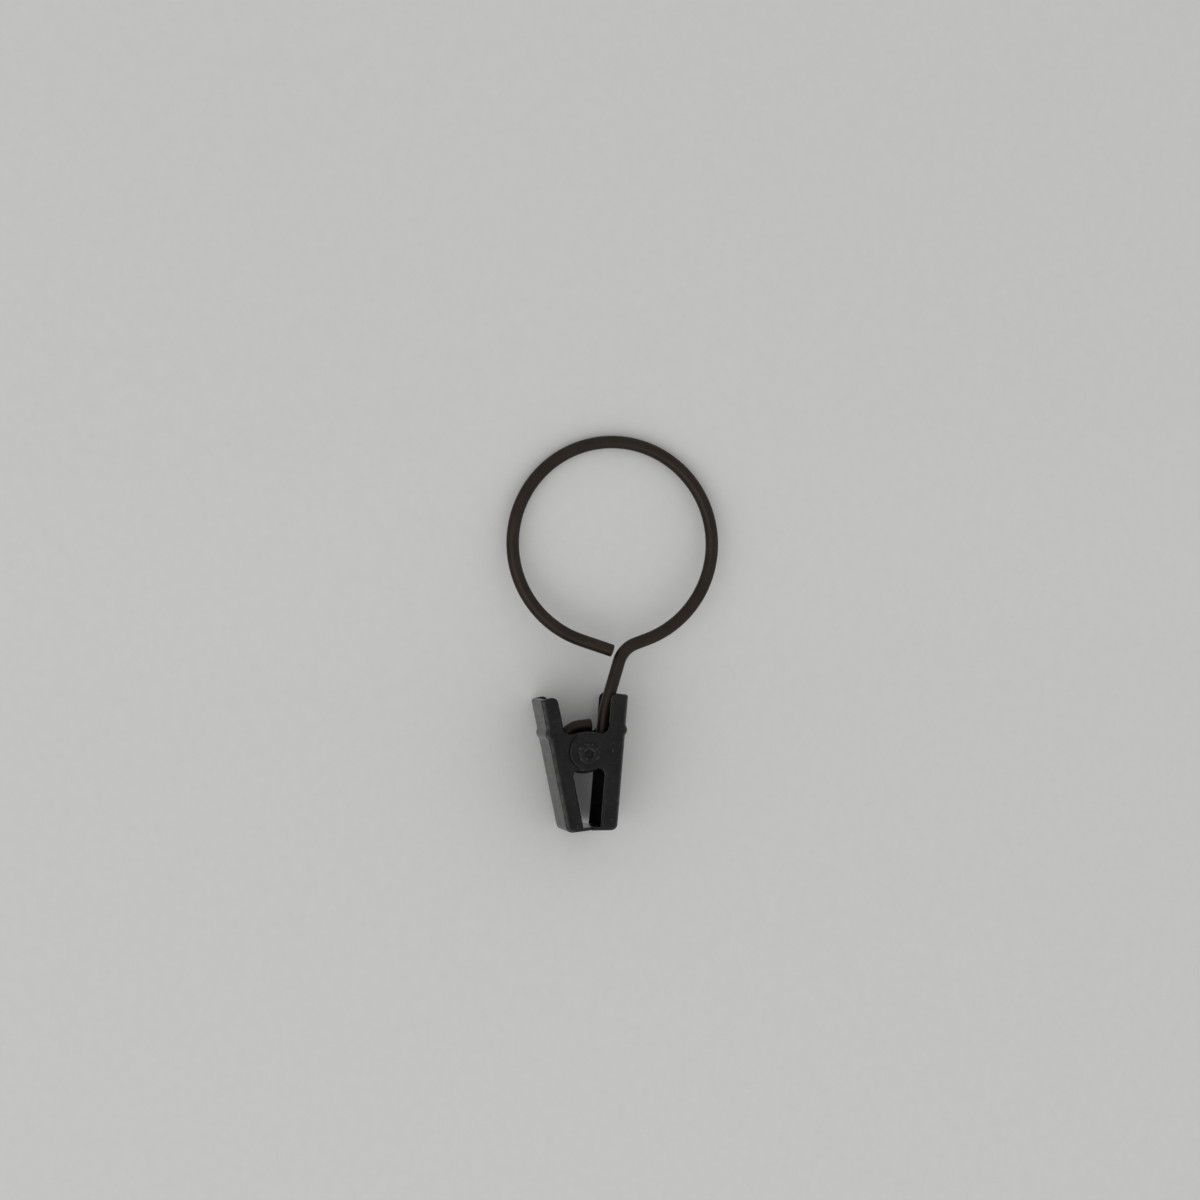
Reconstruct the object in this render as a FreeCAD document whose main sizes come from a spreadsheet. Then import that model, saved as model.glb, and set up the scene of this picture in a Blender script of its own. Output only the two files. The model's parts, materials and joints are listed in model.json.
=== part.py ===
import FreeCAD, Part
import math
import os
import Sketcher

doc = FreeCAD.newDocument("curtain_ring_clip")

# Sizes in millimetres and degrees
SIZES = {
    "ring_inside": 30.0,
    "wire_diameter": 2.0,
    "free_end_angle": 68.06,
    "free_end_straight": 5.3,
    "arm_angle": 73.04,
    "arm_straight": 2.1,
    "neck_radius": 4.3,
    "shank_angle": 19.94,
    "shank_curve": 24.0,
    "shank_gap": 0.33,
    "pivot_drop": 16.42,
    "eye_inside": 4.5,
    "eye_end_angle": 93.0,
    "eye_tail": 1.85,
    "hang_clearance": 0.05,
    "wire_end_round": 0.15,
    "sheet_thick": 0.6,
    "jaw_tilt": 8.15,
    "eye_side_gap": 0.73,
    "handle_height": 9.65,
    "grip_height": 11.5,
    "flange_depth": 2.63,
    "handle_corner": 1.0,
    "ear_radius": 3.05,
    "ear_lift": 0.35,
    "ear_fillet": 1.0,
    "ear_clearance": 0.05,
    "bead_height": 4.1,
    "bead_crest": 1.1,
    "bead_root": 0.6,
    "bead_turn": 34.6,
    "lip_drop": 5.0,
    "lip_bend": 1.0,
    "lip_gap": 0.1,
    "side_bend": 0.7,
    "edge_round": 0.36,
    "rivet_diameter": 2.6,
    "rivet_clearance": 0.05,
    "rivet_dimple": 1.4,
    "dimple_depth": 0.25,
    "roll_diameter": 3.5,
    "roll_rise": 0.26,
    "roll_edge": 0.17,
    "head_diameter": 3.9,
    "head_edge": 0.15,
    "head_dome": 0.3,
    "head_gap": 0.02,
    "spring_wire": 0.7,
    "spring_inside_gap": 0.2,
    "spring_pitch": 0.72,
    "spring_turns": 2.0,
    "spring_offset": 0.8,
    "spring_side_gap": 0.3,
    "spring_seat_gap": 0.02,
    "spring_elbow": 0.6,
}
sheet = doc.addObject("Spreadsheet::Sheet", "sizes")
for row, (alias, value) in enumerate(SIZES.items(), start=1):
    sheet.set(f"A{row}", alias)
    sheet.set(f"B{row}", str(value))
    sheet.setAlias(f"B{row}", alias)
doc.recompute()


def s(alias):
    return f"sizes.{alias}"


def number(text):
    return float(sheet.evalExpression(text))


# Places worked out from the sizes, kept as expressions
WIRE_R = f"({s('wire_diameter')} / 2)"
RING_R = f"({s('ring_inside')} / 2 + {WIRE_R})"
EYE_R = f"({s('eye_inside')} / 2 + {WIRE_R})"
NECK_TURN = f"({s('arm_angle')} - {s('shank_angle')})"
ARM_RUN = f"({s('arm_straight')} + {s('neck_radius')} * tan({NECK_TURN} / 2))"
CORNER_X = f"({RING_R} * cos({s('arm_angle')}) - {ARM_RUN} * sin({s('arm_angle')}))"
CORNER_Z = f"(-{RING_R} * sin({s('arm_angle')}) - {ARM_RUN} * cos({s('arm_angle')}))"
BACK = f"({EYE_R} + {WIRE_R} + {s('eye_side_gap')} + {s('sheet_thick')})"
LEAN = f"({s('shank_angle')} - {s('jaw_tilt')})"
HANDLE_REACH = f"(({BACK} - {s('sheet_thick')}) * cos({LEAN}) - {s('handle_height')} * sin({LEAN}))"
SHANK_OFFSET = f"({HANDLE_REACH} - {WIRE_R} - {s('shank_gap')})"
PIVOT_Z = f"(-{RING_R} - {s('pivot_drop')})"
SHANK_FALL = f"(({CORNER_Z} - {PIVOT_Z}) * sin({s('shank_angle')}))"
PIVOT_X = f"({CORNER_X} - ({SHANK_OFFSET} + {SHANK_FALL}) / cos({s('shank_angle')}))"
EYE_Z = f"({PIVOT_Z} + {s('eye_inside')} / 2 - {s('rivet_diameter')} / 2 - {s('hang_clearance')})"
COIL_R = f"({s('rivet_diameter')} / 2 + {s('spring_inside_gap')} + {s('spring_wire')} / 2)"

# The spring's legs lie on the pressed beads, and its coils fill the space beside the eye
SEAT_X = f"({BACK} - {s('sheet_thick')} + ({s('bead_crest')} + {s('bead_root')}) * (1 - cos({s('bead_turn')}))"
SEAT_X = f"{SEAT_X} - {s('spring_wire')} / 2 - {s('spring_seat_gap')})"
SEAT_REACH = f"sqrt({SEAT_X} ^ 2 + {s('bead_height')} ^ 2)"
SEAT_TURN = f"(atan2({s('bead_height')}; {SEAT_X}) - {s('jaw_tilt')} * 1 deg)"
LEG_TURN = f"({SEAT_TURN} - acos({COIL_R} / {SEAT_REACH}))"
COIL_TURNS = f"({s('spring_turns')} + 0.5 + {LEG_TURN} / (180 deg))"
COIL_START = f"({WIRE_R} + {s('spring_offset')})"
COIL_STOP = f"({COIL_START} + {s('spring_pitch')} * {COIL_TURNS})"
INNER_WIDTH = f"(2 * ({COIL_STOP} + {s('spring_wire')} / 2 + {s('spring_side_gap')} + {s('sheet_thick')}))"
OUTER_WIDTH = f"({INNER_WIDTH} + 2 * ({s('ear_clearance')} + {s('sheet_thick')}))"


def sketch_on(body, role, name):
    plane = [feature for feature in body.Origin.OriginFeatures if feature.Role == role][0]
    sketch = body.newObject("Sketcher::SketchObject", name)
    sketch.AttachmentSupport = [(plane, "")]
    sketch.MapMode = "FlatFace"
    return sketch


def vec(x, y, z=0.0):
    return FreeCAD.Vector(x, y, z)


def bind(sketch, constraint, expression):
    index = sketch.addConstraint(constraint)
    sketch.setExpression(f"Constraints[{index}]", expression)


def arc_between(start, stop, radius, turn, large):
    # turn is 1 for a left-hand bend and -1 for a right-hand bend
    chord = stop - start
    half = chord.Length / 2
    side = vec(-chord.y, chord.x).normalize() * turn * (-1 if large else 1)
    centre = (start + stop) * 0.5 + side * math.sqrt(max(radius * radius - half * half, 0.0))
    first, last = (start, stop) if turn > 0 else (stop, start)
    low = math.atan2(first.y - centre.y, first.x - centre.x)
    high = math.atan2(last.y - centre.y, last.x - centre.x)
    if high <= low:
        high += 2 * math.pi
    return Part.ArcOfCircle(Part.Circle(centre, vec(0, 0, 1), radius), low, high)


def outline(sketch, corners, mirror=False):
    # Each corner is (x, y) or (x, y, radius, turn, large) for a bend that leaves it
    flip = -1 if mirror else 1
    places = [vec(flip * number(c[0]), number(c[1])) for c in corners]
    ends = []
    for index, corner in enumerate(corners):
        start = places[index]
        stop = places[(index + 1) % len(corners)]
        if len(corner) == 2:
            geo = sketch.addGeometry(Part.LineSegment(start, stop))
            ends.append((geo, 1, 2))
        else:
            turn = corner[3] * flip
            geo = sketch.addGeometry(arc_between(start, stop, number(corner[2]), turn, corner[4]))
            ends.append((geo, 1, 2) if turn > 0 else (geo, 2, 1))
            bind(sketch, Sketcher.Constraint("Radius", geo, number(corner[2])), corner[2])
    for index, (geo, first, last) in enumerate(ends):
        following = ends[(index + 1) % len(ends)]
        sketch.addConstraint(Sketcher.Constraint("Coincident", geo, last, following[0], following[1]))
        place = places[index]
        across = f"-({corners[index][0]})" if mirror else corners[index][0]
        if corners[index][0] == "0":
            sketch.addConstraint(Sketcher.Constraint("PointOnObject", geo, first, -2))
        else:
            bind(sketch, Sketcher.Constraint("DistanceX", -1, 1, geo, first, place.x), across)
        if corners[index][1] == "0":
            sketch.addConstraint(Sketcher.Constraint("PointOnObject", geo, first, -1))
        else:
            bind(sketch, Sketcher.Constraint("DistanceY", -1, 1, geo, first, place.y), corners[index][1])


def at_pivot(thing):
    thing.setExpression("Placement.Base.x", PIVOT_X)
    thing.setExpression("Placement.Base.z", PIVOT_Z)


# Wire ring: free end, ring, neck, shank and eye with a short straight end, bent from one wire
ring = doc.addObject("PartDesign::Body", "wire_ring")
ring.Label = "wire_ring"
path = sketch_on(ring, "XZ_Plane", "ring_path")
ring_r = number(RING_R)
eye_r = number(EYE_R)
free = math.radians(number(s("free_end_angle")))
arm = math.radians(number(s("arm_angle")))
lean = math.radians(number(s("shank_angle")))
neck_r = number(s("neck_radius"))
curve_r = number(s("shank_curve"))
eye = vec(number(PIVOT_X), number(EYE_Z))
corner = vec(number(CORNER_X), number(CORNER_Z))
arm_way = vec(-math.sin(arm), -math.cos(arm))
shank_way = vec(-math.sin(lean), -math.cos(lean))
shank_side = vec(math.cos(lean), -math.sin(lean))
free_start = vec(-math.cos(free), -math.sin(free)) * ring_r
free_stop = free_start + vec(math.sin(free), -math.cos(free)) * number(s("free_end_straight"))
arm_start = vec(math.cos(arm), -math.sin(arm)) * ring_r
arm_stop = arm_start + arm_way * number(s("arm_straight"))
neck_centre = arm_stop + vec(math.cos(arm), -math.sin(arm)) * neck_r
neck_stop = neck_centre - shank_side * neck_r
offset = (corner - eye).dot(shank_side)
run = math.sqrt((eye_r - offset) * (2 * curve_r + eye_r + offset))
curve_start = corner + shank_way * (-(corner - eye).dot(shank_way) - run)
curve_centre = curve_start + shank_side * curve_r
eye_start = eye + (curve_centre - eye) * (eye_r / (curve_r + eye_r))
eye_end = math.radians(number(s("eye_end_angle")))
eye_stop = eye + vec(math.cos(eye_end), math.sin(eye_end)) * eye_r
tail_stop = eye_stop + vec(math.sin(eye_end), -math.cos(eye_end)) * number(s("eye_tail"))
free_line = path.addGeometry(Part.LineSegment(free_stop, free_start))
ring_arc = path.addGeometry(Part.ArcOfCircle(
    Part.Circle(vec(0, 0), vec(0, 0, 1), ring_r), -arm, math.pi + free))
arm_line = path.addGeometry(Part.LineSegment(arm_stop, arm_start))
neck_arc = path.addGeometry(arc_between(arm_stop, neck_stop, neck_r, 1, False))
shank_line = path.addGeometry(Part.LineSegment(curve_start, neck_stop))
shank_arc = path.addGeometry(arc_between(curve_start, eye_start, curve_r, 1, False))
eye_arc = path.addGeometry(arc_between(eye_start, eye_stop, eye_r, -1, True))
tail_line = path.addGeometry(Part.LineSegment(tail_stop, eye_stop))
path.addConstraint(Sketcher.Constraint("Coincident", ring_arc, 3, -1, 1))
for first, first_end, second, second_end in (
        (free_line, 2, ring_arc, 2), (arm_line, 2, ring_arc, 1), (arm_line, 1, neck_arc, 1),
        (shank_line, 2, neck_arc, 2), (shank_line, 1, shank_arc, 1), (shank_arc, 2, eye_arc, 2),
        (tail_line, 2, eye_arc, 1)):
    path.addConstraint(Sketcher.Constraint("Tangent", first, first_end, second, second_end))
for arc, expression in ((ring_arc, RING_R), (neck_arc, s("neck_radius")),
                        (shank_arc, s("shank_curve")), (eye_arc, EYE_R)):
    bind(path, Sketcher.Constraint("Radius", arc, number(expression)), expression)
for line, expression in ((free_line, s("free_end_straight")), (arm_line, s("arm_straight")),
                         (tail_line, s("eye_tail"))):
    bind(path, Sketcher.Constraint("Distance", line, number(expression)), expression)
for line, expression in ((free_line, f"90 + {s('free_end_angle')}"), (arm_line, f"90 - {s('arm_angle')}"),
                         (shank_line, f"90 - {s('shank_angle')}")):
    bind(path, Sketcher.Constraint("Angle", line, math.radians(number(expression))), f"({expression}) * 1 deg")
bind(path, Sketcher.Constraint("DistanceX", -1, 1, eye_arc, 3, eye.x), PIVOT_X)
bind(path, Sketcher.Constraint("DistanceY", -1, 1, eye_arc, 3, eye.y), EYE_Z)
bind(path, Sketcher.Constraint("DistanceX", eye_arc, 3, eye_arc, 1, eye_stop.x - eye.x),
     f"{EYE_R} * cos({s('eye_end_angle')})")
section = ring.newObject("Sketcher::SketchObject", "wire_section")
section.AttachmentSupport = [(path, "Edge1")]
section.MapMode = "NormalToEdge"
section.MapPathParameter = 0.0
round_wire = section.addGeometry(Part.Circle(vec(0, 0), vec(0, 0, 1), number(WIRE_R)))
section.addConstraint(Sketcher.Constraint("Coincident", round_wire, 3, -1, 1))
bind(section, Sketcher.Constraint("Radius", round_wire, number(WIRE_R)), WIRE_R)
doc.recompute()
wire = ring.newObject("PartDesign::AdditivePipe", "bent_wire")
wire.Profile = section
wire.Spine = (path, [f"Edge{index + 1}" for index in range(path.GeometryCount)])
doc.recompute()
cut_ends = []
for index, edge in enumerate(wire.Shape.Edges, start=1):
    if edge.Curve.TypeId == "Part::GeomCircle" and edge.Closed:
        middle = vec(edge.Curve.Center.x, edge.Curve.Center.z)
        if min(middle.distanceToPoint(free_stop), middle.distanceToPoint(tail_stop)) < 0.01:
            cut_ends.append(f"Edge{index}")
blunt = ring.newObject("PartDesign::Fillet", "blunt_ends")
blunt.Base = (wire, cut_ends)
blunt.setExpression("Radius", s("wire_end_round"))
doc.recompute()


def is_sharp(solid, edge):
    place = edge.valueAt((edge.FirstParameter + edge.LastParameter) / 2)
    ways = [face.normalAt(*face.Surface.parameter(place)) for face in solid.ancestorsOfType(edge, Part.Face)]
    return ways[0].getAngle(ways[-1]) > 0.5


# Jaw: a stamped channel with a handle, ears on the rivet, a cross bead and a folded lip
def make_jaw(name, width, mirror):
    thick = s("sheet_thick")
    drop = s("lip_drop")
    inside = f"({BACK} - {thick})"
    edge = f"({BACK} - {s('flange_depth')})"
    ear = s("ear_radius")
    lift = s("ear_lift")
    fillet = s("ear_fillet")
    ear_top = f"({lift} + {ear})"
    fillet_drop = f"sqrt(({ear} + {fillet}) ^ 2 - ({edge} - {fillet}) ^ 2)"
    touch = f"({ear} / ({ear} + {fillet}))"
    touch_x = f"({touch} * ({edge} - {fillet}))"
    touch_z = f"({lift} - {touch} * {fillet_drop})"
    bend = s("lip_bend")
    bend_run = f"({bend} * tan((90 - {drop}) / 2))"
    bend_x = f"({BACK} - {bend})"
    bend_z = f"(-{s('grip_height')} + {bend_run})"
    lip_under = f"(-{s('grip_height')} - {BACK} * tan({drop}))"
    lip_over = f"({lip_under} + {thick} / cos({drop}))"
    tilt = s("jaw_tilt")
    meet = f"(cos({tilt}) + tan({drop}) * sin({tilt}))"
    over_x = f"(({s('lip_gap')} / 2 - {lip_over} * sin({tilt})) / {meet})"
    under_x = f"(({s('lip_gap')} / 2 - {lip_under} * sin({tilt})) / {meet})"
    turn = s("bead_turn")
    bead = s("bead_height")
    spread = f"(({s('bead_crest')} + {s('bead_root')}) * sin({turn}))"

    def back_line(start_x, start_z, layer):
        # The back with its cross bead, outside (layer 0) or inside (layer 1) of the sheet
        root = f"({s('bead_root')} + {layer} * {thick})"
        crest = f"({s('bead_crest')} - {layer} * {thick})"
        flank_x = f"({start_x} + {root} * (1 - cos({turn})))"
        return [
            (start_x, start_z),
            (start_x, f"({bead} - {spread})", root, -1, False),
            (flank_x, f"({bead} - {spread} + {root} * sin({turn}))", crest, 1, False),
            (flank_x, f"({bead} + {spread} - {root} * sin({turn}))", root, -1, False),
            (start_x, f"({bead} + {spread})"),
        ]

    jaw = doc.addObject("PartDesign::Body", name)
    jaw.Label = name
    side = sketch_on(jaw, "XZ_Plane", f"{name}_side")
    outline(side, back_line(BACK, bend_z, 0) + [
        (BACK, s("handle_height")),
        (f"({edge} + {s('handle_corner')})", s("handle_height"), s("handle_corner"), 1, False),
        (edge, f"({s('handle_height')} - {s('handle_corner')})"),
        (edge, f"({ear_top} + {fillet})", fillet, -1, False),
        (f"({edge} - {fillet})", ear_top),
        ("0", ear_top, ear, 1, True),
        (touch_x, touch_z, fillet, -1, False),
        (edge, f"({lift} - {fillet_drop})"),
        (edge, f"({lip_over} + {edge} * tan({drop}))"),
        (over_x, f"({lip_over} + {over_x} * tan({drop}))"),
        (under_x, f"({lip_under} + {under_x} * tan({drop}))"),
        (f"({bend_x} + {bend} * sin({drop}))", f"({bend_z} - {bend} * cos({drop}))", bend, 1, False),
    ], mirror)
    hole_r = f"({s('rivet_diameter')} / 2 + {s('rivet_clearance')})"
    hole = side.addGeometry(Part.Circle(vec(0, 0), vec(0, 0, 1), number(hole_r)))
    side.addConstraint(Sketcher.Constraint("Coincident", hole, 3, -1, 1))
    bind(side, Sketcher.Constraint("Radius", hole, number(hole_r)), hole_r)
    blank = jaw.newObject("PartDesign::Pad", f"{name}_blank")
    blank.Profile = side
    blank.SideType = "Symmetric"
    blank.setExpression("Length", width)
    hollow = sketch_on(jaw, "XZ_Plane", f"{name}_hollow")
    far_x = f"(-{ear} - 1)"
    top_z = f"({s('handle_height')} + 2)"
    inner_bend = f"({bend} - {thick})"
    outline(hollow, back_line(inside, bend_z, 1) + [
        (inside, top_z),
        (far_x, top_z),
        (far_x, f"({lip_over} + {far_x} * tan({drop}))"),
        (f"({bend_x} + {inner_bend} * sin({drop}))", f"({bend_z} - {inner_bend} * cos({drop}))",
         inner_bend, 1, False),
    ], mirror)
    channel = jaw.newObject("PartDesign::Pocket", f"{name}_channel")
    channel.Profile = hollow
    channel.SideType = "Symmetric"
    channel.setExpression("Length", f"{width} - 2 * {thick}")
    doc.recompute()

    # The folds between the back and the two flanges
    flip = -1 if mirror else 1
    back = number(BACK)
    folds = []
    for index, edge_shape in enumerate(channel.Shape.Edges, start=1):
        points = edge_shape.discretize(5)
        outside = all(abs(abs(p.y) - number(width) / 2) < 1e-4 for p in points)
        on_back = all(p.x * flip > back - 1e-4 for p in points)
        if outside and on_back:
            folds.append(f"Edge{index}")
    fold = jaw.newObject("PartDesign::Fillet", f"{name}_folds")
    fold.Base = (channel, folds)
    fold.setExpression("Radius", s("side_bend"))
    doc.recompute()

    # The outer edge of the blank, rolled over by the punch, from the handle down to the lip
    half = number(width) / 2 - number(thick)
    lip_top = number(f"{lip_over} + {edge} * tan({drop})")
    rolled = []
    for index, edge_shape in enumerate(fold.Shape.Edges, start=1):
        points = edge_shape.discretize(5)
        outside = all(abs(p.y) > half + 1e-4 or p.x * flip > back - 1e-4 for p in points)
        above = all(p.z > lip_top - 1e-4 for p in points)
        if outside and above and not edge_shape.Closed and is_sharp(fold.Shape, edge_shape):
            rolled.append(f"Edge{index}")
    roll = jaw.newObject("PartDesign::Fillet", f"{name}_rolled_edge")
    roll.Base = (fold, rolled)
    roll.setExpression("Radius", s("edge_round"))
    jaw.Placement.Rotation = FreeCAD.Rotation(FreeCAD.Vector(0, flip, 0), number(tilt))
    jaw.setExpression("Placement.Rotation.Angle", f"{tilt} * 1 deg")
    at_pivot(jaw)
    doc.recompute()
    return jaw


outer_jaw = make_jaw("outer_jaw", OUTER_WIDTH, False)
inner_jaw = make_jaw("inner_jaw", INNER_WIDTH, True)

# Rivet through the four ears, with a rolled rim round a dimple in front and a dome behind
rivet = doc.addObject("PartDesign::Body", "pivot_rivet")
rivet.Label = "pivot_rivet"
shape = sketch_on(rivet, "YZ_Plane", "rivet_half")
HALF = f"({OUTER_WIDTH} / 2 + {s('head_gap')})"
FRONT = f"(-{HALF})"
roll_chord = f"((({s('roll_diameter')} - {s('rivet_dimple')}) / 2) ^ 2 + {s('roll_edge')} ^ 2)"
roll_r = f"(({roll_chord} / 4 + {s('roll_rise')} ^ 2) / (2 * {s('roll_rise')}))"
dome_r = f"((({s('head_diameter')} / 2) ^ 2 + {s('head_dome')} ^ 2) / (2 * {s('head_dome')}))"
outline(shape, [
    (f"({FRONT} + {s('dimple_depth')})", "0"),
    (f"({FRONT} + {s('dimple_depth')})", f"{s('rivet_dimple')} / 2"),
    (f"({FRONT} - {s('roll_edge')})", f"{s('rivet_dimple')} / 2", roll_r, -1, False),
    (FRONT, f"{s('roll_diameter')} / 2"),
    (FRONT, f"{s('rivet_diameter')} / 2"),
    (HALF, f"{s('rivet_diameter')} / 2"),
    (HALF, f"{s('head_diameter')} / 2"),
    (f"({HALF} + {s('head_edge')})", f"{s('head_diameter')} / 2", dome_r, -1, False),
    (f"({HALF} + {s('head_edge')} + {s('head_dome')})", "0"),
])
turned = rivet.newObject("PartDesign::Revolution", "turned_rivet")
turned.Profile = shape
turned.ReferenceAxis = (shape, ["H_Axis"])
turned.Angle = 360.0
at_pivot(rivet)
doc.recompute()

# Torsion spring: two coils beside the eye, a bridge in the inner jaw's bead, two legs in the outer jaw's
spring = doc.addObject("Part::Feature", "torsion_spring")
spring.Label = "torsion_spring"
coil_r = number(COIL_R)
thick_r = number(s("spring_wire")) / 2
leg = math.sqrt(number(SEAT_REACH) ** 2 - coil_r ** 2)
leg_turn = math.radians(number(LEG_TURN))
start_turn = math.pi - leg_turn
start_y = number(COIL_START)
pitch = number(s("spring_pitch"))
slope = pitch / (2 * math.pi * coil_r)
rise = pitch * number(COIL_TURNS)


def on_coil(angle, along):
    return vec(coil_r * math.cos(angle), along, coil_r * math.sin(angle))


def leg_way(angle):
    return vec(-math.sin(angle), slope, math.cos(angle))


# Half of the spring from the middle of its bridge, then its mirror image
first_turn = on_coil(start_turn, start_y)
last_turn = on_coil(leg_turn, start_y + rise)
inner_way = leg_way(start_turn).normalize()
bridge_end = first_turn - leg_way(start_turn) * leg
bridge_middle = vec(bridge_end.x, 0, bridge_end.z)
elbow_r = number(s("spring_elbow"))
back_way = vec(0, -1, 0)
between = (back_way + inner_way).normalize()
half_angle = back_way.getAngle(between)
elbow_run = elbow_r / math.tan(half_angle)
elbow_middle = bridge_end + between * (elbow_r / math.sin(half_angle) - elbow_r)
elbow_start = bridge_end + back_way * elbow_run
elbow_stop = bridge_end + inner_way * elbow_run
leg_tip = last_turn + leg_way(leg_turn) * (leg - thick_r)
# One edge for each turn, so that every face of the coil meshes cleanly
helix = Part.makeLongHelix(pitch, rise, coil_r, 0, True)
upright = FreeCAD.Rotation(FreeCAD.Vector(1, 0, 0), -90)
turned_to = FreeCAD.Rotation(FreeCAD.Vector(0, 1, 0), -math.degrees(start_turn))
helix.Placement = FreeCAD.Placement(vec(0, start_y, 0), turned_to * upright)
centre_line = Part.Wire([
    Part.makeLine(bridge_middle, elbow_start),
    Part.Arc(elbow_start, elbow_middle, elbow_stop).toShape(),
    Part.makeLine(elbow_stop, first_turn),
    *helix.Edges,
    Part.makeLine(last_turn, leg_tip),
])
wire_round = Part.Wire([Part.makeCircle(thick_r, bridge_middle, vec(0, 1, 0))])
half_spring = centre_line.makePipeShell([wire_round], True, False)
other_half = half_spring.mirror(vec(0, 0, 0), vec(0, 1, 0))
spring.Shape = half_spring.fuse(other_half).removeSplitter()
at_pivot(spring)
doc.recompute()

# Every piece is sound before it is written
PIECES = [ring, outer_jaw, inner_jaw, rivet, spring]
for thing in doc.Objects:
    if "Invalid" in thing.State or "Error" in thing.State:
        raise RuntimeError(f"{thing.Name} did not build")
os.makedirs("parts", exist_ok=True)
for piece in PIECES:
    if piece.Shape.isNull() or not piece.Shape.isValid() or len(piece.Shape.Solids) != 1:
        raise RuntimeError(f"{piece.Label} is not one sound solid")
    piece.Shape.exportStep(f"parts/{piece.Label}.step")
    box = piece.Shape.BoundBox
    print(piece.Label, round(piece.Shape.Volume, 2), [round(v, 2) for v in (
        box.XMin, box.XMax, box.YMin, box.YMax, box.ZMin, box.ZMax)])
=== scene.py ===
import json
import math

import bpy
from mathutils import Matrix, Vector


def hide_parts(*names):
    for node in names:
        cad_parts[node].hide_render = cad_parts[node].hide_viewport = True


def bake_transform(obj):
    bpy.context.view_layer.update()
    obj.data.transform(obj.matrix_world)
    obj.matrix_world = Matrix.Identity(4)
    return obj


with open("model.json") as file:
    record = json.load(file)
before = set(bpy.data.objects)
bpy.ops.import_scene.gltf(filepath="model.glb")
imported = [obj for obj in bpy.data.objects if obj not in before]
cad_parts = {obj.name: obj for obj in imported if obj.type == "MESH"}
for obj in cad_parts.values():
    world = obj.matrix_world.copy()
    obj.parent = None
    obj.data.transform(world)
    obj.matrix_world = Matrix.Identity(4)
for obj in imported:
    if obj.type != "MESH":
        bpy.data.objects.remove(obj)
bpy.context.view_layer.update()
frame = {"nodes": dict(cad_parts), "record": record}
mm = 0.001
pivot = Vector(frame["record"]["behaviour"]["joints"][1]["pos_m"]) / mm
print("frame loaded:", ", ".join(sorted(frame["nodes"])))


# Node helpers

def newFinish(name):
    finish = bpy.data.materials.new(name)
    finish.use_nodes = True
    tree = finish.node_tree
    tree.nodes.clear()
    out = tree.nodes.new("ShaderNodeOutputMaterial")
    skin = tree.nodes.new("ShaderNodeBsdfPrincipled")
    tree.links.new(skin.outputs["BSDF"], out.inputs["Surface"])
    return finish, tree, skin


def addNode(tree, kind, inputs=None, **settings):
    node = tree.nodes.new(kind)
    for key, value in settings.items():
        setattr(node, key, value)
    for key, value in (inputs or {}).items():
        if isinstance(value, bpy.types.NodeSocket):
            tree.links.new(value, node.inputs[key])
        else:
            node.inputs[key].default_value = value
    return node


def millimetres(tree):
    place = addNode(tree, "ShaderNodeTexCoord").outputs["Object"]
    return addNode(tree, "ShaderNodeMapping", {"Vector": place, "Scale": [1 / mm] * 3}).outputs["Vector"]


def noise(tree, where, size, detail=3.0):
    # size is the width of one patch in millimetres
    return addNode(tree, "ShaderNodeTexNoise", {
        "Vector": where, "Scale": 1 / size, "Detail": detail, "Roughness": 0.55}).outputs["Fac"]


def spread(tree, value, fromRange, toLow=0.0, toHigh=1.0):
    low, high = fromRange
    return addNode(tree, "ShaderNodeMapRange", {
        "Value": value, "From Min": low, "From Max": high,
        "To Min": toLow, "To Max": toHigh}).outputs["Result"]


def maths(tree, operation, a, b=0.0):
    return addNode(tree, "ShaderNodeMath", {0: a, 1: b}, operation=operation).outputs[0]


def mixColour(tree, share, a, b):
    # 0, 6 and 7 are the sockets of the colour mode
    return addNode(tree, "ShaderNodeMix", {0: share, 6: a, 7: b}, data_type="RGBA").outputs[2]


def giveFinish(finish, *names):
    for name in names:
        slots = frame["nodes"][name].data.materials
        slots.clear()
        slots.append(finish)


# Satin paint, a little uneven, with dust, and lighter where the given mask says: rubbed paint on the wire's
# cut ends and the rivet's rim, a painted sheen on the clip's folds

paintLook = {
    "patch": (0.35, 0.68), "patchDull": 0.07, "grain": (0.3, 0.7), "peelDepth": 0.03, "softEdge": 0.07,
    "speckSize": 0.35, "speck": (0.66, 0.72), "dustColour": (0.16, 0.155, 0.15, 1), "edgeSamples": 6,
    "cutEdge": (0.99, 0.8), "roundStart": (0.03, 0.55), "roundStop": (0.72, 0.99),
}


def softNormal(tree, radius):
    samples = paintLook["edgeSamples"]
    return addNode(tree, "ShaderNodeBevel", {"Radius": radius * mm}, samples=samples).outputs["Normal"]


def roundMask(tree):
    # 1 where a rounded edge turns from a back to a flange, 0 on both flats
    face = addNode(tree, "ShaderNodeNewGeometry")
    way = addNode(tree, "ShaderNodeSeparateXYZ", {"Vector": face.outputs["Normal"]})
    turn = maths(tree, "ABSOLUTE", way.outputs["Y"])
    start = spread(tree, turn, paintLook["roundStart"])
    return maths(tree, "MULTIPLY", start, spread(tree, turn, paintLook["roundStop"], 1.0, 0.0))


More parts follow.
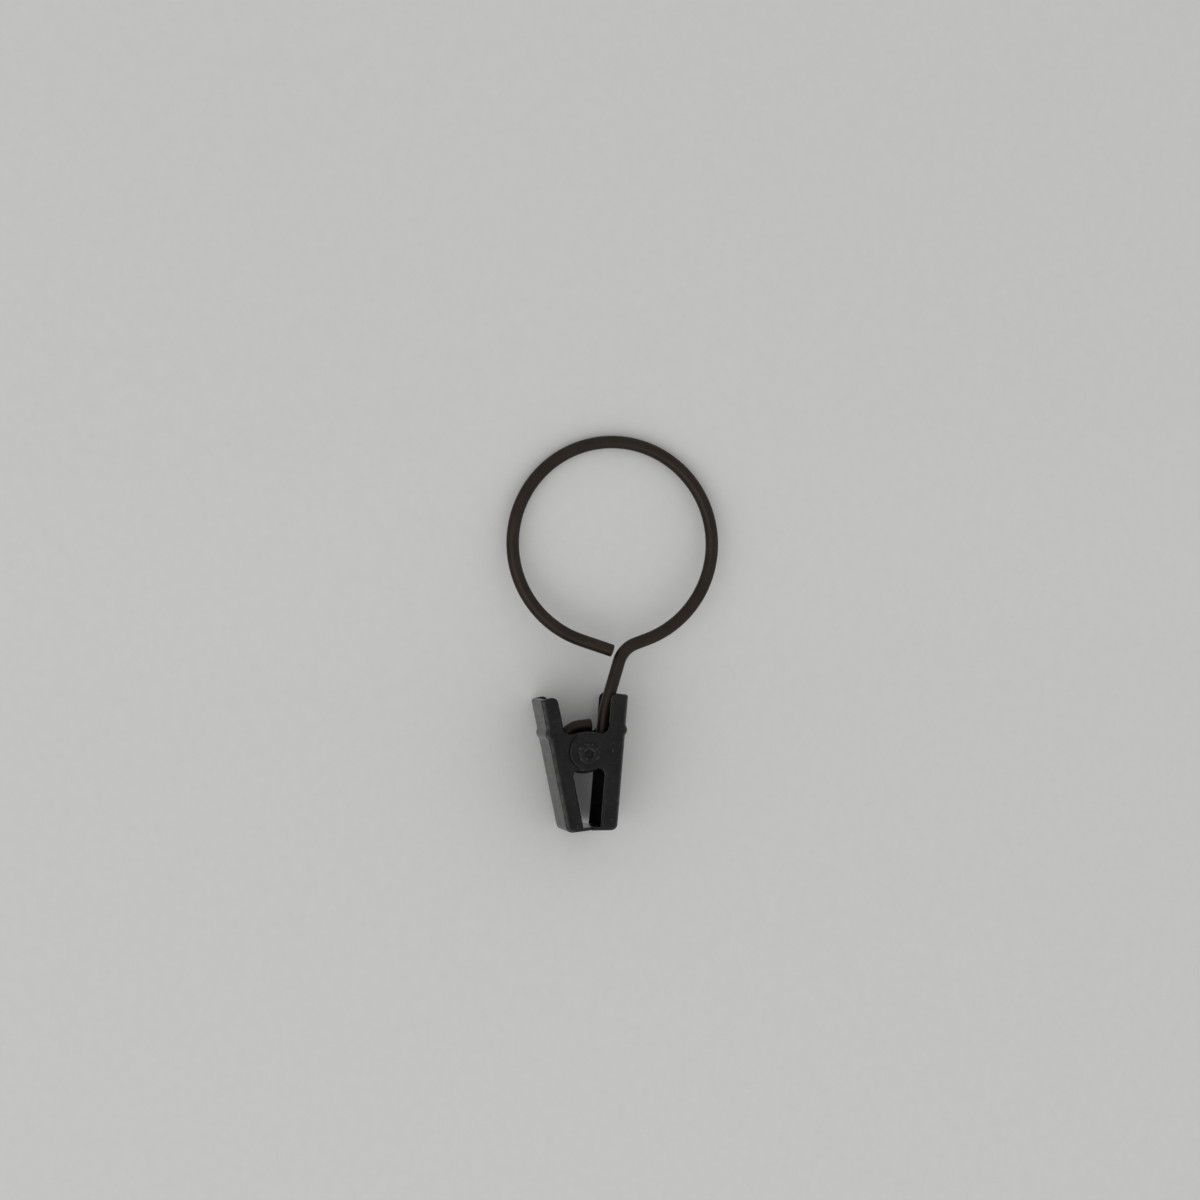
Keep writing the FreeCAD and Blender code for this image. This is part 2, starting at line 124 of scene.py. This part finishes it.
def satinPaint(look, rubAndSheenOn):
    finish, tree, skin = newFinish(look["name"])
    where = millimetres(tree)
    patch = spread(tree, noise(tree, where, look["cloud"]), paintLook["patch"])
    colour = mixColour(tree, patch, look["dark"], look["light"])
    wornAndSheen = spread(tree, noise(tree, where, look["wearAndSheenSize"], detail=4.0), look["wornAndSheenRange"], look["wornAndSheenLeast"])
    # lighter colour where the mask says: rubbed paint on the wire and the rivet, painted sheen on the
    # clip's folds
    rubAndSheen = maths(tree, "MULTIPLY", rubAndSheenOn(tree), wornAndSheen)
    colour = mixColour(tree, maths(tree, "MULTIPLY", rubAndSheen, look["rubAndSheen"]), colour, look["rubbedAndSheenColour"])
    speck = spread(tree, noise(tree, where, paintLook["speckSize"], detail=2.0), paintLook["speck"])
    dust = maths(tree, "MULTIPLY", speck, look["dust"])
    colour = mixColour(tree, dust, colour, paintLook["dustColour"])
    tree.links.new(colour, skin.inputs["Base Color"])
    dull = spread(tree, noise(tree, where, look["grain"], detail=5.0), paintLook["grain"], *look["rough"])
    dull = maths(tree, "ADD", dull, maths(tree, "MULTIPLY", patch, paintLook["patchDull"]))
    tree.links.new(dull, skin.inputs["Roughness"])
    skin.inputs["Specular IOR Level"].default_value = look["shine"]
    skin.inputs["Specular Tint"].default_value = look["tint"]
    peel = addNode(tree, "ShaderNodeBump", {
        "Height": noise(tree, where, look["peel"], detail=2.0), "Strength": look["bump"],
        "Distance": paintLook["peelDepth"] * mm, "Normal": softNormal(tree, paintLook["softEdge"])})
    tree.links.new(peel.outputs["Normal"], skin.inputs["Normal"])
    return finish


# Wire ring, rubbed on the edges of its two cut ends

wireLook = {
    "name": "wirePaint", "dark": (0.0085, 0.0054, 0.0038, 1), "light": (0.0145, 0.0095, 0.0070, 1),
    "rubbedAndSheenColour": (0.06, 0.052, 0.045, 1), "cloud": 3.0, "grain": 0.5, "peel": 0.22, "bump": 0.22, "edge": 0.12,
    "wearAndSheenSize": 1.6, "wornAndSheenRange": (0.42, 0.62), "wornAndSheenLeast": 0.12, "rubAndSheen": 0.5, "dust": 0.10,
    "rough": (0.28, 0.42), "shine": 0.23, "tint": (1.0, 0.87, 0.76, 1),
}


def cutEndMask(tree):
    face = addNode(tree, "ShaderNodeNewGeometry")
    turn = addNode(tree, "ShaderNodeVectorMath", {
        0: softNormal(tree, wireLook["edge"]), 1: face.outputs["Normal"]}, operation="DOT_PRODUCT")
    return spread(tree, turn.outputs["Value"], paintLook["cutEdge"])


giveFinish(satinPaint(wireLook, cutEndMask), "wire_ring")
print("wire ring painted")

# Clip jaws, with a painted sheen along the folds of their backs, broken into patches; back is the level
# distance from the pivot to a back

clipLook = {
    # the lighter colour along the folds, with its patches and its strength below, makes a painted sheen
    "name": "clipPaint", "dark": (0.0050, 0.0051, 0.0051, 1), "light": (0.0100, 0.0099, 0.0097, 1),
    "rubbedAndSheenColour": (0.10, 0.098, 0.094, 1), "cloud": 2.2, "grain": 0.6, "peel": 0.3, "bump": 0.25,
    "tilt": 8.15, "back": 5.637, "foldDepth": (1.1, 0.8),
    "wearAndSheenSize": 0.8, "wornAndSheenRange": (0.36, 0.66), "wornAndSheenLeast": 0.30, "rubAndSheen": 0.62, "dust": 0.2,
    "rough": (0.12, 0.28), "shine": 0.135, "tint": (1.0, 1.0, 1.0, 1),
}


# painted sheen: a lighter colour on the rounded folds next to each back
def foldSheenMask(tree):
    # both jaws lean out from the pivot by the same tilt
    place = addNode(tree, "ShaderNodeSeparateXYZ", {"Vector": millimetres(tree)})
    across = maths(tree, "ABSOLUTE", maths(tree, "SUBTRACT", place.outputs["X"], pivot.x))
    above = maths(tree, "SUBTRACT", place.outputs["Z"], pivot.z)
    lean = maths(tree, "MULTIPLY", above, math.tan(math.radians(clipLook["tilt"])))
    fold = [clipLook["back"] - depth for depth in clipLook["foldDepth"]]
    near = spread(tree, maths(tree, "SUBTRACT", across, lean), fold)
    return maths(tree, "MULTIPLY", roundMask(tree), near)


giveFinish(satinPaint(clipLook, foldSheenMask), "outer_jaw", "inner_jaw")
print("jaws painted")

# Rivet, with the clip's paint worn off in specks round its rolled rim

rivetLook = dict(
    clipLook, name="rivetPaint", light=(0.013, 0.0127, 0.0124, 1), cloud=0.8,
    wearAndSheenSize=0.7, wornAndSheenRange=(0.51, 0.61), wornAndSheenLeast=0.0, rubAndSheen=0.6)
giveFinish(satinPaint(rivetLook, roundMask), "pivot_rivet")
print("rivet painted")

# Torsion spring, one wire from leg to leg that winds up as the jaw opens

springLook = {
    "wire": 0.7, "coil": 1.85, "legTurn": -41.4816, "leg": 6.1239, "start": 1.8, "pitch": 0.72,
    "turns": 2.26955, "elbow": 0.6, "elbowSteps": 8, "bridgeRun": 1.6, "coilSteps": 110, "sides": 18,
    "blunt": 0.82, "blend": 2.4,
}
steelLook = {
    "colour": (0.42, 0.41, 0.39, 1), "tarnish": (0.20, 0.18, 0.15, 1),
    "stainSize": 0.9, "stain": (0.45, 0.72), "stainMost": 0.8,
    "drawnSize": 0.12, "drawn": (0.3, 0.7), "rough": (0.22, 0.40), "bump": 0.15, "bumpDepth": 0.01,
}


def steelFinish():
    finish, tree, skin = newFinish("springSteel")
    where = millimetres(tree)
    stain = noise(tree, where, steelLook["stainSize"], detail=4.0)
    stain = spread(tree, stain, steelLook["stain"], 0.0, steelLook["stainMost"])
    colour = mixColour(tree, stain, steelLook["colour"], steelLook["tarnish"])
    tree.links.new(colour, skin.inputs["Base Color"])
    drawn = noise(tree, where, steelLook["drawnSize"], detail=4.0)
    tree.links.new(spread(tree, drawn, steelLook["drawn"], *steelLook["rough"]), skin.inputs["Roughness"])
    skin.inputs["Metallic"].default_value = 1.0
    bump = addNode(tree, "ShaderNodeBump", {
        "Height": drawn, "Strength": steelLook["bump"], "Distance": steelLook["bumpDepth"] * mm})
    tree.links.new(bump.outputs["Normal"], skin.inputs["Normal"])
    return finish


def springLine():
    coil, leg, elbow = springLook["coil"], springLook["leg"], springLook["elbow"]
    slope = springLook["pitch"] / (2 * math.pi * coil)
    legTurn = math.radians(springLook["legTurn"])
    startTurn = math.pi - legTurn

    def onCoil(turn, along):
        return Vector((coil * math.cos(turn), along, coil * math.sin(turn)))

    def legWay(turn):
        return Vector((-math.sin(turn), slope, math.cos(turn)))

    # half of the bridge, then the elbow where it turns into the first leg
    first = onCoil(startTurn, springLook["start"])
    corner = first - legWay(startTurn) * leg
    along, back = legWay(startTurn).normalized(), Vector((0, -1, 0))
    halfAngle = back.angle(along) / 2
    run = elbow / math.tan(halfAngle)
    middle = corner + (along + back).normalized() * (elbow / math.sin(halfAngle))
    line = [Vector((corner.x, 0, corner.z)), corner + back * run * springLook["bridgeRun"]]
    begin, end = corner + back * run - middle, corner + along * run - middle
    for step in range(springLook["elbowSteps"] + 1):
        line.append(middle + begin.slerp(end, step / springLook["elbowSteps"]).normalized() * elbow)
    line += [first.lerp(corner + along * run, share) for share in (0.75, 0.5, 0.25)]
    # the coil and the second leg, and the same mirrored on the other side of the eye
    for step in range(springLook["coilSteps"] + 1):
        turn = 2 * math.pi * springLook["turns"] * step / springLook["coilSteps"]
        line.append(onCoil(startTurn + turn, springLook["start"] + slope * coil * turn))
    last, legRun = line[-1], legWay(legTurn) * (leg - springLook["wire"] / 2)
    line += [last + legRun * share for share in (0.25, 0.5, 0.75, 0.93, 1.0)]
    mirrored = [Vector((p.x, -p.y, p.z)) for p in reversed(line[1:])]
    return [pivot + p for p in mirrored + line]


def addPiece(name, points, faces, smooth):
    mesh = bpy.data.meshes.new(name)
    mesh.from_pydata(points, [], faces)
    mesh.polygons.foreach_set("use_smooth", smooth)
    mesh.update()
    piece = bpy.data.objects.new(name, mesh)
    bpy.context.scene.collection.objects.link(piece)
    return piece


def sweepWire(name, line, radius, sides):
    # rings carried along the line without twist, closed by a blunt cap at each end
    points, faces = [], []
    across = (line[1] - line[0]).orthogonal().normalized()
    for index, place in enumerate(line):
        ahead = line[min(index + 1, len(line) - 1)] - line[max(index - 1, 0)]
        ahead.normalize()
        across = (across - ahead * across.dot(ahead)).normalized()
        third = ahead.cross(across)
        thick = radius * (springLook["blunt"] if index in (0, len(line) - 1) else 1.0)
        for k in range(sides):
            turn = 2 * math.pi * k / sides
            points.append((place + (across * math.cos(turn) + third * math.sin(turn)) * thick) * mm)
    for index in range(len(line) - 1):
        for k in range(sides):
            a, b = index * sides + k, index * sides + (k + 1) % sides
            faces.append((a, b, b + sides, a + sides))
    faces.append(tuple(reversed(range(sides))))
    faces.append(tuple(range(len(points) - sides, len(points))))
    return addPiece(name, points, faces, [len(face) == 4 for face in faces])


springPiece = sweepWire("springWire", springLine(), springLook["wire"] / 2, springLook["sides"])
springPiece.data.materials.append(steelFinish())
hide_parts("torsion_spring")
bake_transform(springPiece)
print("spring wound:", len(springPiece.data.polygons), "faces")

# Pale sheet: the clip lies against it below, and it curls up to the top of the ring

sheetLook = {
    "lean": 0.030, "touch": (4.32, 17.0), "curl": (-22.0, 3.29), "steps": 26,
    "wide": (-112, 107), "tall": (-118, 99),
    "colour": (0.546, 0.546, 0.541, 1), "even": (0.42, 0.42, 0.415, 1),
    "fibreSize": 1.5, "fibre": (0.3, 0.7), "fibreShade": 0.97, "rough": 0.9, "shine": 0.15,
}


def sheetDepth(height):
    touchY, touchZ = sheetLook["touch"]
    start, lift = sheetLook["curl"]
    share = min(max((height - start) / (touchZ - start), 0), 1)
    return touchY + (touchZ - height) * sheetLook["lean"] - lift * share * share * (3 - 2 * share)


def sheetFinish():
    finish, tree, skin = newFinish("paleSheet")
    fibre = noise(tree, millimetres(tree), sheetLook["fibreSize"], detail=6.0)
    pale = sheetLook["colour"]
    shaded = [c * sheetLook["fibreShade"] for c in pale[:3]] + [1]
    colour = mixColour(tree, spread(tree, fibre, sheetLook["fibre"]), shaded, pale)
    tree.links.new(colour, skin.inputs["Base Color"])
    skin.inputs["Roughness"].default_value = sheetLook["rough"]
    skin.inputs["Specular IOR Level"].default_value = sheetLook["shine"]
    # the paint sees it as an even pale face, and from behind it is clear, so that the clip's back shows
    ray = addNode(tree, "ShaderNodeLightPath").outputs["Is Camera Ray"]
    even = addNode(tree, "ShaderNodeEmission", {"Color": sheetLook["even"]})
    front = addNode(tree, "ShaderNodeMixShader", {0: ray, 1: even.outputs[0], 2: skin.outputs[0]})
    behind = addNode(tree, "ShaderNodeNewGeometry").outputs["Backfacing"]
    clear = addNode(tree, "ShaderNodeBsdfTransparent")
    mixed = addNode(tree, "ShaderNodeMixShader", {0: behind, 1: front.outputs[0], 2: clear.outputs[0]})
    out = [node for node in tree.nodes if node.type == "OUTPUT_MATERIAL"][0]
    tree.links.new(mixed.outputs[0], out.inputs["Surface"])
    finish.cycles.emission_sampling = "NONE"
    return finish


def paleSheet():
    low, high = sheetLook["tall"]
    start, top, steps = sheetLook["curl"][0], sheetLook["touch"][1], sheetLook["steps"]
    heights = [low] + [start + (top - start) * k / steps for k in range(steps + 1)] + [high]
    corners = [Vector((x, sheetDepth(z), z)) * mm for z in heights for x in sheetLook["wide"]]
    faces = [(2 * k, 2 * k + 1, 2 * k + 3, 2 * k + 2) for k in range(len(heights) - 1)]
    sheet = addPiece("paleSheet", corners, faces, [True] * len(faces))
    sheet.data.materials.append(sheetFinish())
    return sheet


paleSheet()
print("sheet laid")

# Soft light: a bright even room, a wide lamp from the left and weak ones from the right and from below

lampAim = (-4, 0, -15)
lampLook = [
    {"name": "leftLamp", "at": (-900, -1250, -450), "size": 1600, "power": 7.0},
    {"name": "rightLamp", "at": (700, -1300, -200), "size": 1000, "power": 0.3},
    {"name": "lowLamp", "at": (0, -500, -600), "size": 500, "power": 0.4},
]
roomLook = {"colour": (0.76, 0.76, 0.76, 1), "strength": 1.0}


def softLamp(look):
    lamp = bpy.data.lights.new(look["name"], "AREA")
    lamp.shape = "DISK"
    lamp.size = look["size"] * mm
    lamp.energy = look["power"]
    holder = bpy.data.objects.new(look["name"], lamp)
    bpy.context.scene.collection.objects.link(holder)
    holder.location = Vector(look["at"]) * mm
    way = (Vector(lampAim) - Vector(look["at"])).normalized()
    holder.rotation_mode = "QUATERNION"
    holder.rotation_quaternion = way.to_track_quat("-Z", "Y")


for look in lampLook:
    softLamp(look)
room = bpy.data.worlds.new("evenRoom")
room.use_nodes = True
glow = room.node_tree.nodes["Background"]
glow.inputs["Color"].default_value = roomLook["colour"]
glow.inputs["Strength"].default_value = roomLook["strength"]
bpy.context.scene.world = room
print("light set")

# Camera: over the clip and a little to its left, tipped as the photograph was

cameraLook = {
    "at": (-92.30, -440.92, -7.07), "azimuth": 11.5, "elevation": -0.21, "roll": -3.28,
    "lens": 85.92, "sensor": 36, "near": 10, "far": 10000,
}


def setCamera(look):
    az, el, roll = (math.radians(look[key]) for key in ("azimuth", "elevation", "roll"))
    ahead = Vector((math.sin(az) * math.cos(el), math.cos(az) * math.cos(el), math.sin(el)))
    level = ahead.cross(Vector((0, 0, 1))).normalized()
    upright = level.cross(ahead)
    right = level * math.cos(roll) + upright * math.sin(roll)
    up = upright * math.cos(roll) - level * math.sin(roll)
    camera = bpy.data.objects.new("photoCamera", bpy.data.cameras.new("photoCamera"))
    bpy.context.scene.collection.objects.link(camera)
    turned = Matrix((right, up, -ahead)).transposed().to_4x4()
    camera.matrix_world = Matrix.Translation(Vector(look["at"]) * mm) @ turned
    camera.data.lens = look["lens"]
    camera.data.sensor_width = look["sensor"]
    camera.data.clip_start, camera.data.clip_end = look["near"] * mm, look["far"] * mm
    bpy.context.scene.camera = camera


setCamera(cameraLook)
bpy.context.scene.view_settings.view_transform = "Standard"
print("camera set")
